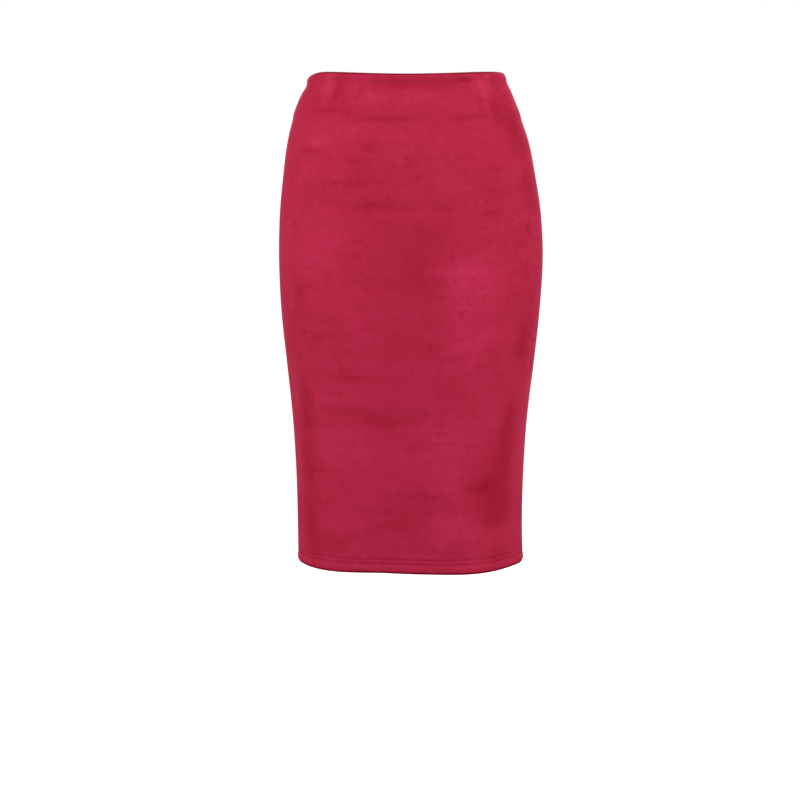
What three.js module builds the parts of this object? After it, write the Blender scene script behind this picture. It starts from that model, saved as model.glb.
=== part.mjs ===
// A pencil skirt of stretch suede: a hollow tube that follows the waist and hips and narrows to the knee.
// It is cut as a front on the fold and two backs, with waist darts, a shaped facing inside the waist edge,
// a stitched hem and a walking slit at the centre back. It stands open in the shape it takes when worn.
// Millimetres, +Z up, the front towards -Y. Left and right are the wearer's, so the left side is at +X.
// The origin is the middle of the waist, half way down the facing, where the skirt is held.

import * as THREE from "three";

// The cloth and the finished lengths
const LENGTH = 595; // waist edge to hem
const WALL = 1.4; // one layer of suede with its knit back
const SEAM_GAP = 0.3; // between pieces that are sewn edge to edge or lie on each other
const FACING_WALL = 1.0; // a firmer, thinner knit than the suede
const FACING_DEPTH = 50; // from the waist edge down
const FACING_SET_DOWN = 1.2; // the suede rolls over the facing's top edge by this
const HEM_DEPTH = 20; // of the cloth turned up inside
const HEM_EDGE_ROUND = 2; // height of the soft fold at the very bottom
const SLIT_LENGTH = 150; // up from the hem at the centre back
const SLIT_SPREAD = 14; // how far its two edges stand apart at the hem
const SLIT_CURVE = 1.4; // above 1, the edges part slowly at first

// The waist edge isn't level: it dips at the centre front and back, and slips down at the side seams.
// A higher sharpness keeps the drop closer to its middle.
const DIP_FRONT = { drop: 2.5, sharpness: 4 };
const DIP_BACK = { drop: 8, sharpness: 2 };
const SLIP_LEFT = { drop: 1.5, sharpness: 18 };
const SLIP_RIGHT = { drop: 6, sharpness: 18 };
const EDGE_FADE = 60; // this far from the waist edge and the hem the rows are level

// The hem hangs a little lower in front of the left knee. Turn is the angle round the skirt, in degrees:
// 0 is the left side seam, 90 the centre back and -90 the centre front.
const HEM_SAG = { turn: -66, reach: 42, drop: 1.8 };

// How far the suede stands off the sections near the waist: the edge rolls inwards, a soft trough runs
// under it, and the facing holds the cloth out until its lower edge shows as a low step.
const WAIST_PROFILE = [
  { down: 0, out: -0.6 },
  { down: 2, out: 0.7 },
  { down: 6, out: 1.2 },
  { down: 12, out: 0.3 },
  { down: 22, out: 0.9 },
  { down: 36, out: 1.0 },
  { down: 50, out: 1.0 },
  { down: 58, out: 0 },
  { down: 62, out: 0 },
  { down: LENGTH, out: 0 },
];

// Level sections of the outer face. Down is below the waist edge, half is half the width, centre is where
// the middle lies across, front and back are the depths from the side seams, full is how far the section
// fills out past an ellipse half way round, and lean moves the depth of the front towards the left.
const SECTIONS = [
  { down: 0, half: 115.4, centre: -4.9, front: 87, back: 87, full: 0, lean: 0 },
  { down: 16, half: 120.6, centre: -3.9, front: 90, back: 90, full: 0, lean: 0 },
  { down: 34, half: 128.6, centre: -4.6, front: 94, back: 95, full: 0.003, lean: 0 },
  { down: 57, half: 137.3, centre: -4.2, front: 98, back: 102, full: 0.006, lean: 0 },
  { down: 87, half: 145.8, centre: -2.8, front: 101.5, back: 110, full: 0.011, lean: 0 },
  { down: 123, half: 151.8, centre: -1.6, front: 103.5, back: 118, full: 0.015, lean: 0 },
  { down: 168, half: 157.5, centre: -0.2, front: 104, back: 123.5, full: 0.018, lean: 0.01 },
  { down: 222, half: 159.7, centre: 0.5, front: 104, back: 123, full: 0.02, lean: 0.02 },
  { down: 286, half: 156.8, centre: 0, front: 103, back: 116, full: 0.018, lean: 0.03 },
  { down: 350, half: 150.3, centre: -0.1, front: 101, back: 108, full: 0.014, lean: 0.04 },
  { down: 415, half: 143.2, centre: -0.6, front: 98.5, back: 101, full: 0.01, lean: 0.05 },
  { down: 480, half: 139.2, centre: -0.7, front: 96, back: 97, full: 0.006, lean: 0.05 },
  { down: 545, half: 137.7, centre: -0.6, front: 93.5, back: 94.5, full: 0.003, lean: 0.05 },
  { down: LENGTH, half: 138.2, centre: 0.3, front: 92, back: 94, full: 0, lean: 0.05 },
];

// Darts run from a turn at the waist edge to another at their tip, at the given depth.
const DART_GROOVE = 0.6;
const DART_HALF_WIDTH = 2.6;
const DARTS = [
  { piece: "front_panel", turn: -127.5, tipTurn: -120, tip: 84 },
  { piece: "front_panel", turn: -46.5, tipTurn: -55.5, tip: 84 },
  { piece: "back_panel_left", turn: 52, tipTurn: 61, tip: 120 },
  { piece: "back_panel_right", turn: 128, tipTurn: 119, tip: 120 },
];

// The largest pull creases, as soft troughs round the skirt. Turn and down give a crease's middle, reach is
// half its length along the cloth, fall is how much lower its left end lies than its right, and spread is
// half its height.
const CREASES = [
  { turn: -128, down: 80, reach: 34, fall: -3, spread: 13, deep: 0.9 },
  { turn: -112, down: 128, reach: 42, fall: 4, spread: 12, deep: 1.0 },
  { turn: -84, down: 160, reach: 92, fall: 9, spread: 16, deep: 1.3 },
  { turn: -106, down: 250, reach: 58, fall: 3, spread: 15, deep: 1.2 },
  { turn: -52, down: 300, reach: 46, fall: -6, spread: 15, deep: 0.9 },
  { turn: -94, down: 404, reach: 62, fall: 8, spread: 16, deep: 1.1 },
  { turn: 70, down: 66, reach: 52, fall: 3, spread: 12, deep: 1.2 },
  { turn: 118, down: 78, reach: 44, fall: -4, spread: 12, deep: 1.0 },
  { turn: 96, down: 286, reach: 76, fall: 5, spread: 17, deep: 1.4 },
  { turn: 60, down: 318, reach: 48, fall: -4, spread: 14, deep: 1.0 },
];

// The grid of each piece
const COLUMNS_PER_HALF_TURN = 32;
const PLAIN_ROW_STEP = 20;
const WAIST_ROWS = [0, 2, 6, 12, 22, 36, 50, 58];
const HEM_STEP = 1.5; // height over which the wall doubles at the top of the hem
const HEM_ROWS = [
  LENGTH - HEM_DEPTH - HEM_STEP,
  LENGTH - HEM_DEPTH,
  LENGTH - HEM_EDGE_ROUND,
  LENGTH,
];
const FACING_ROWS = [FACING_SET_DOWN, 6, 12, 22, 36, FACING_DEPTH];

const WAIST_Z = FACING_DEPTH / 2;
const LEFT_SEAM = 0;
const CENTRE_BACK = Math.PI / 2;
const RIGHT_SEAM = Math.PI;

// A table's column at any depth: a smooth curve through its rows.
function readTable(table, column, down) {
  const last = table.length - 1;
  let row = 0;
  while (row < last - 1 && table[row + 1].down < down) {
    row += 1;
  }
  const slopeAt = (index) => {
    const above = table[Math.max(index - 1, 0)];
    const below = table[Math.min(index + 1, last)];
    return (below[column] - above[column]) / (below.down - above.down);
  };
  const step = table[row + 1].down - table[row].down;
  const s = Math.min(Math.max((down - table[row].down) / step, 0), 1);
  const from = table[row][column];
  const to = table[row + 1][column];
  const ease = s * s * (3 - 2 * s);
  const leave = s * (1 - s) * (1 - s) * step * slopeAt(row);
  const arrive = s * s * (s - 1) * step * slopeAt(row + 1);
  return from + (to - from) * ease + leave + arrive;
}

// A soft bump: 1 in the middle, 0 at the given reach and beyond.
function soften(distance, reach) {
  const share = Math.min(Math.abs(distance) / reach, 1);
  return (1 - share * share) ** 2;
}

function radians(degrees) {
  return (degrees * Math.PI) / 180;
}

// How far the waist edge lies below its highest stretch, at a turn round the skirt.
function edgeDrop(turn) {
  const across = Math.cos(turn);
  const along = Math.sin(turn);
  const slip = across > 0 ? SLIP_LEFT : SLIP_RIGHT;
  const dip = along < 0 ? DIP_FRONT : DIP_BACK;
  const atSeam = slip.drop * Math.abs(across) ** slip.sharpness;
  return atSeam + dip.drop * Math.abs(along) ** dip.sharpness;
}

// The uneven waist edge and hem settle to level rows away from them.
function trueDepth(turn, down) {
  const nearWaist = Math.max(1 - down / EDGE_FADE, 0);
  const nearHem = Math.max(1 - (LENGTH - down) / EDGE_FADE, 0);
  const sag = HEM_SAG.drop * soften(turn - radians(HEM_SAG.turn), radians(HEM_SAG.reach));
  return down + edgeDrop(turn) * nearWaist + sag * nearHem;
}

function planPoint(turn, depth) {
  const read = (column) => readTable(SECTIONS, column, depth);
  const inFront = Math.sin(turn) < 0;
  const fullness = 1 + read("full") * Math.sin(2 * turn) ** 2;
  const lean = inFront ? 1 + read("lean") * Math.cos(turn) : 1;
  const reach = inFront ? read("front") : read("back");
  return new THREE.Vector2(
    read("centre") + read("half") * Math.cos(turn) * fullness,
    reach * Math.sin(turn) * fullness * lean,
  );
}

// The way the cloth runs round the skirt at a point, as millimetres for each radian of turn.
function planRun(turn, depth) {
  const nudge = 0.001;
  const run = planPoint(turn + nudge, depth).sub(planPoint(turn - nudge, depth));
  return run.divideScalar(2 * nudge);
}

// Distance along the cloth between two turns, close enough for placing darts and creases.
function clothDistance(turn, from, depth) {
  return (turn - from) * planRun((turn + from) / 2, depth).length();
}

function creaseDepth(turn, depth) {
  let total = 0;
  for (const crease of CREASES) {
    const along = clothDistance(turn, radians(crease.turn), depth);
    const middle = crease.down + (crease.fall * along) / (2 * crease.reach);
    total += crease.deep * soften(along, crease.reach) * soften(depth - middle, crease.spread);
  }
  return total;
}

function dartsOf(piece) {
  return DARTS.filter((dart) => dart.piece === piece.name);
}

function dartTurn(dart, down) {
  const share = Math.min(down / dart.tip, 1);
  return radians(dart.turn + (dart.tipTurn - dart.turn) * share);
}

function dartDepth(piece, turn, down) {
  let total = 0;
  for (const dart of dartsOf(piece)) {
    const away = clothDistance(turn, dartTurn(dart, down), down);
    const shallower = Math.max(1 - (down / dart.tip) ** 2, 0);
    total += DART_GROOVE * soften(away, DART_HALF_WIDTH) * shallower;
  }
  return total;
}

// Where the suede lies at a turn and a depth, before it is given its thickness.
function clothOut(turn, depth, down) {
  return readTable(WAIST_PROFILE, "out", down) - creaseDepth(turn, depth);
}

// How thick the suede is: doubled where the hem is turned up, and rounded off at the fold.
function suedeWall(down) {
  if (down > LENGTH - HEM_DEPTH - HEM_STEP / 2) {
    return down >= LENGTH ? WALL : 2 * WALL;
  }
  return WALL;
}

function foldRound(down) {
  return down >= LENGTH ? WALL / 2 : 0;
}

// Half the opening at the centre back: the seam's gap, then the slit spreading towards the hem.
function centreBackGap(down) {
  const below = Math.max(down - (LENGTH - SLIT_LENGTH), 0) / SLIT_LENGTH;
  return SEAM_GAP / 2 + (SLIT_SPREAD / 2) * below ** SLIT_CURVE;
}

// The first and last turn of a piece in a row. A piece stops half a seam gap short of its seam.
function pieceEnds(piece, down) {
  const gapTurn = (seam) => {
    const gap = seam === CENTRE_BACK ? centreBackGap(down) : SEAM_GAP / 2;
    return gap / planRun(seam, down).length();
  };
  return [piece.from + gapTurn(piece.from), piece.to - gapTurn(piece.to)];
}

// Turns that a row of points has to pass: the piece's ends, and each dart's line with its two sides.
function rowMarks(piece, down) {
  const [first, end] = pieceEnds(piece, down);
  const marks = [first];
  for (const dart of dartsOf(piece)) {
    const middle = dartTurn(dart, down);
    const width = DART_HALF_WIDTH / planRun(middle, down).length();
    marks.push(middle - width, middle, middle + width);
  }
  return [...marks, end];
}

// Each piece has the same number of columns in every row, spread evenly between these marks.
function rowTurns(piece, down) {
  const columnTurn = Math.PI / COLUMNS_PER_HALF_TURN;
  const topMarks = rowMarks(piece, 0);
  const marks = rowMarks(piece, down);
  const turns = [marks[0]];
  for (let mark = 1; mark < marks.length; mark += 1) {
    const count = Math.max(Math.round((topMarks[mark] - topMarks[mark - 1]) / columnTurn), 1);
    const step = (marks[mark] - marks[mark - 1]) / count;
    for (let column = 1; column <= count; column += 1) {
      turns.push(marks[mark - 1] + step * column);
    }
  }
  return turns;
}

function panelRows() {
  const rows = [...WAIST_ROWS];
  const top = rows[rows.length - 1];
  const bottom = HEM_ROWS[0];
  const count = Math.round((bottom - top) / PLAIN_ROW_STEP);
  for (let row = 1; row < count; row += 1) {
    rows.push(top + ((bottom - top) * row) / count);
  }
  return [...rows, ...HEM_ROWS];
}

// One grid of points on each face of a piece: its place round the skirt, moved straight out.
function facePoints(piece, outAt) {
  return piece.rows.map((down) =>
    rowTurns(piece, down).map((turn) => {
      const depth = trueDepth(turn, down);
      const run = planRun(turn, depth);
      const straightOut = new THREE.Vector2(run.y, -run.x).normalize();
      const place = planPoint(turn, depth).addScaledVector(straightOut, outAt(turn, depth, down));
      return new THREE.Vector3(place.x, place.y, WAIST_Z - depth);
    }),
  );
}

// A closed wall from its outer and inner faces, joined round the four edges.
function closeWall(outer, inner) {
  const rows = outer.length;
  const columns = outer[0].length;
  const position = [];
  for (const face of [outer, inner]) {
    for (const point of face.flat()) {
      position.push(point.x, point.y, point.z);
    }
  }
  const out = (row, column) => row * columns + column;
  const inn = (row, column) => rows * columns + row * columns + column;
  const index = [];
  const quad = (a, b, c, d) => index.push(a, b, c, a, c, d);
  for (let row = 0; row < rows - 1; row += 1) {
    for (let column = 0; column < columns - 1; column += 1) {
      const low = row + 1;
      const next = column + 1;
      quad(out(row, column), out(low, column), out(low, next), out(row, next));
      quad(inn(row, column), inn(row, next), inn(low, next), inn(low, column));
    }
    const low = row + 1;
    const end = columns - 1;
    quad(out(low, 0), out(row, 0), inn(row, 0), inn(low, 0));
    quad(out(row, end), out(low, end), inn(low, end), inn(row, end));
  }
  for (let column = 0; column < columns - 1; column += 1) {
    const next = column + 1;
    const foot = rows - 1;
    quad(out(0, column), out(0, next), inn(0, next), inn(0, column));
    quad(out(foot, next), out(foot, column), inn(foot, column), inn(foot, next));
  }
  const geometry = new THREE.BufferGeometry();
  geometry.setAttribute("position", new THREE.Float32BufferAttribute(position, 3));
  geometry.setIndex(index);
  geometry.computeVertexNormals();
  return geometry;
}

// A panel of suede: darts are pressed into its outer face only.
function suedePanel(piece) {
  const outer = facePoints(
    piece,
    (turn, depth, down) =>
      clothOut(turn, depth, down) - foldRound(down) - dartDepth(piece, turn, down),
  );
  const inner = facePoints(
    piece,
    (turn, depth, down) => clothOut(turn, depth, down) - foldRound(down) - suedeWall(down),
  );
  return closeWall(outer, inner);
}

// The facing is made from the panel's own points, moved in past the suede.
function waistFacing(piece) {
  const outerFace = -(WALL + SEAM_GAP);
  const innerFace = outerFace - FACING_WALL;
  const outer = facePoints(piece, (turn, depth, down) => clothOut(turn, depth, down) + outerFace);
  const inner = facePoints(piece, (turn, depth, down) => clothOut(turn, depth, down) + innerFace);
  return closeWall(outer, inner);
}

const suede = new THREE.MeshStandardMaterial({ color: 0xb02844, roughness: 0.85, metalness: 0 });
const facingKnit = new THREE.MeshStandardMaterial({ color: 0x8e2238, roughness: 0.8, metalness: 0 });

function namedMesh(name, geometry, material) {
  const mesh = new THREE.Mesh(geometry, material);
  mesh.name = name;
  return mesh;
}

const ROWS = panelRows();
const PANELS = [
  { name: "front_panel", from: -RIGHT_SEAM, to: LEFT_SEAM, rows: ROWS },
  { name: "back_panel_left", from: LEFT_SEAM, to: CENTRE_BACK, rows: ROWS },
  { name: "back_panel_right", from: CENTRE_BACK, to: RIGHT_SEAM, rows: ROWS },
];
const FACINGS = [
  { name: "waist_facing_front", from: -RIGHT_SEAM, to: LEFT_SEAM, rows: FACING_ROWS },
  { name: "waist_facing_back", from: LEFT_SEAM, to: RIGHT_SEAM, rows: FACING_ROWS },
];

const skirt = new THREE.Group();
for (const piece of PANELS) {
  skirt.add(namedMesh(piece.name, suedePanel(piece), suede));
}
for (const piece of FACINGS) {
  skirt.add(namedMesh(piece.name, waistFacing(piece), facingKnit));
}

export default skirt;
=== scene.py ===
# %% [markdown]
# A pencil skirt of crimson stretch suede
# It is shown in the shape that it takes when worn, hollow and open at the waist and the hem.
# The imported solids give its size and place. This script dresses them: each cut piece becomes a thin
# sheet of cloth with turned edges, pull creases and a brushed nap, and the sewing is added on it.
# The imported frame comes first, because every new piece has to lie where its solid lies.

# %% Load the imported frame
import math
import bmesh
import bpy
import numpy as np
from mathutils import Matrix, Vector


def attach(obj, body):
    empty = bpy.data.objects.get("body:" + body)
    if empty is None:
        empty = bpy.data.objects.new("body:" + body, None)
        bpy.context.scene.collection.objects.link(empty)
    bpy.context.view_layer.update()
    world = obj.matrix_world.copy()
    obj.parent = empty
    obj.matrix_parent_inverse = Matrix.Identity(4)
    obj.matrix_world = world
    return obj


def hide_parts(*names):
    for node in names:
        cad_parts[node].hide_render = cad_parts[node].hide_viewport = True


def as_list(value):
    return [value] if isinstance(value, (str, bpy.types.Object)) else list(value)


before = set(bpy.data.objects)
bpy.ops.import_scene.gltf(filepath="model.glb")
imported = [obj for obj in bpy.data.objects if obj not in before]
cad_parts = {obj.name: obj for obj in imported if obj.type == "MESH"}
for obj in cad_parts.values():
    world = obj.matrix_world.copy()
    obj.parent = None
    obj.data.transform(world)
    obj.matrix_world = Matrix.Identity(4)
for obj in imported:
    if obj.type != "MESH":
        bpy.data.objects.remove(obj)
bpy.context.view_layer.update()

# %% [markdown]
# Sizes of the garment
# A skirt like this is 595 mm long and is cut from cloth about 1.4 mm thick. A facing of thin knit,
# 50 mm deep, lies inside its waist edge, and 20 mm of cloth is turned up at the hem. Sizes are kept
# in millimetres, as on a maker's cutting sheet, and turned into metres only when a mesh is made.

# %% Name the sizes
MM = 0.001
LENGTH = 595
WALL = 1.4
FACING_WALL = 1.0
FACING_DEPTH = 50
HEM_DEPTH = 20
SLIT_LENGTH = 150
SLIT_SPREAD = 14
SLIT_CURVE = 1.4
EDGE_FADE = 60
WIDEST_DOWN = 222.0
WAIST_Z = FACING_DEPTH / 2
LEFT_SEAM = 0
CENTRE_BACK = math.pi / 2
RIGHT_SEAM = math.pi
print("length", LENGTH, "mm, wall", WALL, "mm, hem", HEM_DEPTH, "mm")

# %% [markdown]
# The form as short tables
# Cloth over a body has no edges or flat faces, so a table of level sections describes it best: half
# width, depth in front and behind, and a few words on how full the section is. The same rows are in
# the solid's source. A second table says how the cloth stands off these sections near the waist.

# %% Write the tables of the form
def table(names, *rows):
    """Rows of numbers as columns with names."""
    return {name: np.array([row[place] for row in rows], float) for place, name in enumerate(names.split())}


def rows_of(columns):
    """The rows of a table, one at a time, each with its columns' names."""
    for place in range(len(next(iter(columns.values())))):
        yield {name: column[place] for name, column in columns.items()}


SECTIONS = table(
    "down half centre front back full lean",
    (0, 115.4, -4.9, 87, 87, 0, 0),
    (16, 120.6, -3.9, 90, 90, 0, 0),
    (34, 128.6, -4.6, 94, 95, 0.003, 0),
    (57, 137.3, -4.2, 98, 102, 0.006, 0),
    (87, 145.8, -2.8, 101.5, 110, 0.011, 0),
    (123, 151.8, -1.6, 103.5, 118, 0.015, 0),
    (168, 157.5, -0.2, 104, 123.5, 0.018, 0.01),
    (222, 159.7, 0.5, 104, 123, 0.02, 0.02),
    (286, 156.8, 0, 103, 116, 0.018, 0.03),
    (350, 150.3, -0.1, 101, 108, 0.014, 0.04),
    (415, 143.2, -0.6, 98.5, 101, 0.01, 0.05),
    (480, 139.2, -0.7, 96, 97, 0.006, 0.05),
    (545, 137.7, -0.6, 93.5, 94.5, 0.003, 0.05),
    (LENGTH, 138.2, 0.3, 92, 94, 0, 0.05),
)
WAIST_PROFILE = table(
    "down out",
    (0, -0.6),
    (2, 0.7),
    (6, 1.2),
    (12, 0.3),
    (22, 0.9),
    (36, 1.0),
    (50, 1.0),
    (58, 0),
    (62, 0),
    (LENGTH, 0),
)
DIP_FRONT = {"drop": 2.5, "sharpness": 4}
DIP_BACK = {"drop": 8, "sharpness": 2}
SLIP_LEFT = {"drop": 1.5, "sharpness": 18}
SLIP_RIGHT = {"drop": 6, "sharpness": 18}
HEM_SAGS = table(
    "turn reach drop",
    (-66, 42, 1.8),
    (-136, 34, 2.6),
    (-52, 30, 1.8),
    (64, 44, 1.4),
    (124, 38, 1.2),
)
print("sections", len(SECTIONS["down"]), "rows from the waist edge to the hem")

# %% [markdown]
# Reading a place on the cloth
# Every point of the skirt has a turn, the angle round it from the left side seam, and a depth below
# the waist edge. Numpy works on a whole sheet of such pairs at once, which keeps the script quick.
# A smooth curve through a table's rows gives its value at any depth.

# %% Read the tables smoothly
def read_table(columns, name, down):
    """A column's value at any depth: a smooth curve through the rows."""
    depths = columns["down"]
    values = columns[name]
    slopes = np.empty_like(values)
    slopes[1:-1] = (values[2:] - values[:-2]) / (depths[2:] - depths[:-2])
    slopes[0] = (values[1] - values[0]) / (depths[1] - depths[0])
    slopes[-1] = (values[-1] - values[-2]) / (depths[-1] - depths[-2])
    down = np.asarray(down, float)
    row = np.clip(np.searchsorted(depths, down) - 1, 0, len(depths) - 2)
    step = depths[row + 1] - depths[row]
    s = np.clip((down - depths[row]) / step, 0, 1)
    ease = s * s * (3 - 2 * s)
    leave = s * (1 - s) ** 2 * step * slopes[row]
    arrive = s * s * (s - 1) * step * slopes[row + 1]
    return values[row] + (values[row + 1] - values[row]) * ease + leave + arrive


def soften(distance, reach):
    """A soft bump: 1 in the middle, 0 at the given reach and beyond."""
    share = np.minimum(np.abs(distance) / reach, 1)
    return (1 - share * share) ** 2


print("half width 100 mm down", round(float(read_table(SECTIONS, "half", 100)), 1), "mm")

# %% Find a place round the skirt
def edge_drop(turn):
    """How far the waist edge lies below its highest stretch."""
    across = np.abs(np.cos(turn))
    along = np.abs(np.sin(turn))
    slips = [side["drop"] * across ** side["sharpness"] for side in (SLIP_LEFT, SLIP_RIGHT)]
    dips = [side["drop"] * along ** side["sharpness"] for side in (DIP_FRONT, DIP_BACK)]
    return np.where(np.cos(turn) > 0, *slips) + np.where(np.sin(turn) < 0, *dips)


def turn_from(turn, start):
    """The shorter way round from a turn in degrees to these turns, in radians."""
    return np.remainder(turn - math.radians(start) + math.pi, 2 * math.pi) - math.pi


def true_depth(turn, down):
    """The uneven waist edge and hem settle to level rows away from them."""
    near_waist = np.maximum(1 - down / EDGE_FADE, 0)
    near_hem = np.maximum(1 - (LENGTH - down) / EDGE_FADE, 0)
    sag = 0
    for place in rows_of(HEM_SAGS):
        sag = sag + place["drop"] * soften(turn_from(turn, place["turn"]), math.radians(place["reach"]))
    return down + edge_drop(turn) * near_waist + sag * near_hem


def plan_point(turn, depth):
    """The place of a point seen from above, x to the wearer's left and y to the back."""
    in_front = np.sin(turn) < 0
    fullness = 1 + read_table(SECTIONS, "full", depth) * np.sin(2 * turn) ** 2
    lean = np.where(in_front, 1 + read_table(SECTIONS, "lean", depth) * np.cos(turn), 1)
    reach = np.where(in_front, read_table(SECTIONS, "front", depth), read_table(SECTIONS, "back", depth))
    x = read_table(SECTIONS, "centre", depth) + read_table(SECTIONS, "half", depth) * np.cos(turn) * fullness
    return x, reach * np.sin(turn) * fullness * lean


def plan_run(turn, depth):
    """The way the cloth runs round the skirt, in millimetres for each radian of turn."""
    nudge = 0.001
    ahead_x, ahead_y = plan_point(turn + nudge, depth)
    behind_x, behind_y = plan_point(turn - nudge, depth)
    return (ahead_x - behind_x) / (2 * nudge), (ahead_y - behind_y) / (2 * nudge)


def cloth_speed(turn, depth):
    """Millimetres of cloth for each radian of turn."""
    return np.hypot(*plan_run(turn, depth))


def cloth_distance(turn, start, depth):
    """Distance along the cloth between two turns."""
    return (turn - start) * cloth_speed((turn + start) / 2, depth)


print("cloth round the left hip", round(float(cloth_speed(0.0, 222.0)), 1), "mm a radian")

# %% [markdown]
# Creases
# Stretch suede over a moving body has long shallow pulls, not sharp folds. Each one is a soft trough
# with a lower ridge above it, listed with its own size, tilt and bow, so no two are alike.
# The first table repeats the large ones of the solid. The second adds the finer ones, on all sides.

# %% Place the large creases
LARGE_CREASES = table(
    "turn down reach fall spread deep bow",
    (-128, 80, 34, -3, 13, 0.9, 0),
    (-112, 128, 42, 4, 12, 1.0, 0),
    (-84, 160, 92, 9, 16, 1.3, 0),
    (-106, 250, 58, 3, 15, 1.2, 0),
    (-52, 300, 46, -6, 15, 0.9, 0),
    (-94, 404, 62, 8, 16, 1.1, 0),
    (70, 66, 52, 3, 12, 1.2, 0),
    (118, 78, 44, -4, 12, 1.0, 0),
    (96, 286, 76, 5, 17, 1.4, 0),
    (60, 318, 48, -4, 14, 1.0, 0),
)


def crease_lines(creases, turn, depth):
    """For each crease: the share along it, and the height above its middle line in spreads."""
    for crease in rows_of(creases):
        along = cloth_distance(turn, math.radians(crease["turn"]), depth)
        bow = crease["bow"] * (along / crease["reach"]) ** 2
        middle = crease["down"] + crease["fall"] * along / (2 * crease["reach"]) + bow
        yield crease, soften(along, crease["reach"]), (middle - depth) / crease["spread"]


def large_crease_depth(turn, depth):
    """How far the large creases press the cloth in."""
    total = 0
    for crease, along, height in crease_lines(LARGE_CREASES, turn, depth):
        total = total + crease["deep"] * along * soften(height, 1)
    return total


print("large creases", len(LARGE_CREASES["turn"]))

# %% Place the finer creases
FINE_CREASES = table(
    "turn down reach fall spread deep bow",
    (-100, 88, 20, 2, 5, 0.30, 0),
    (-86, 112, 26, -2, 6, 0.28, 2),
    (-96, 134, 46, 3, 7, 0.38, -2),
    (-60, 142, 24, -4, 6, 0.30, 1),
    (-128, 104, 18, -4, 5, 0.30, 0),
    (-146, 96, 14, 3, 5, 0.28, 0),
    (-78, 196, 40, 4, 8, 0.34, 2),
    (-122, 212, 26, -3, 7, 0.30, 0),
    (-44, 214, 22, 5, 7, 0.30, -1),
    (-90, 262, 50, 5, 9, 0.36, 2),
    (-132, 296, 24, 4, 8, 0.32, 0),
    (-70, 340, 42, -4, 9, 0.34, 2),
    (-112, 352, 34, 5, 8, 0.30, 0),
    (-40, 372, 20, 4, 7, 0.28, 0),
    (-84, 448, 44, -5, 9, 0.34, -2),
    (-126, 462, 26, 4, 8, 0.30, 1),
    (-60, 500, 32, 4, 8, 0.30, 0),
    (-100, 524, 34, -3, 8, 0.30, 0),
    (40, 104, 24, 4, 7, 0.32, 1),
    (88, 112, 44, -3, 8, 0.40, 3),
    (136, 118, 28, -5, 7, 0.32, 0),
    (66, 168, 46, 4, 9, 0.36, 2),
    (112, 186, 42, -4, 9, 0.36, -2),
    (34, 226, 24, 5, 8, 0.30, 0),
    (148, 238, 26, -4, 8, 0.30, 0),
    (84, 246, 52, 3, 10, 0.42, 3),
    (120, 322, 44, -5, 10, 0.38, 2),
    (50, 362, 34, 4, 9, 0.32, 0),
    (98, 396, 42, 3, 9, 0.34, 2),
    (140, 412, 26, -4, 8, 0.30, 0),
    (68, 452, 30, 4, 8, 0.30, 0),
    (116, 486, 28, -3, 8, 0.30, 0),
    (18, 150, 18, 3, 7, 0.26, 0),
    (-18, 318, 20, -4, 8, 0.28, 0),
    (162, 166, 20, -3, 7, 0.28, 0),
    (-166, 348, 20, 4, 8, 0.28, 0),
)
FINE_SHARE = 1.6
RIDGE = {"share": 0.5, "above": 1.25, "half_height": 1.1}


def fine_crease_depth(turn, depth):
    """How far the finer creases press the cloth in, with the ridge that each one raises above it."""
    total = 0
    for crease, along, height in crease_lines(FINE_CREASES, turn, depth):
        ridge = RIDGE["share"] * soften(height - RIDGE["above"], RIDGE["half_height"])
        total = total + FINE_SHARE * crease["deep"] * along * (soften(height, 1) - ridge)
    return total


print("fine creases", len(FINE_CREASES["turn"]))
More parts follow.
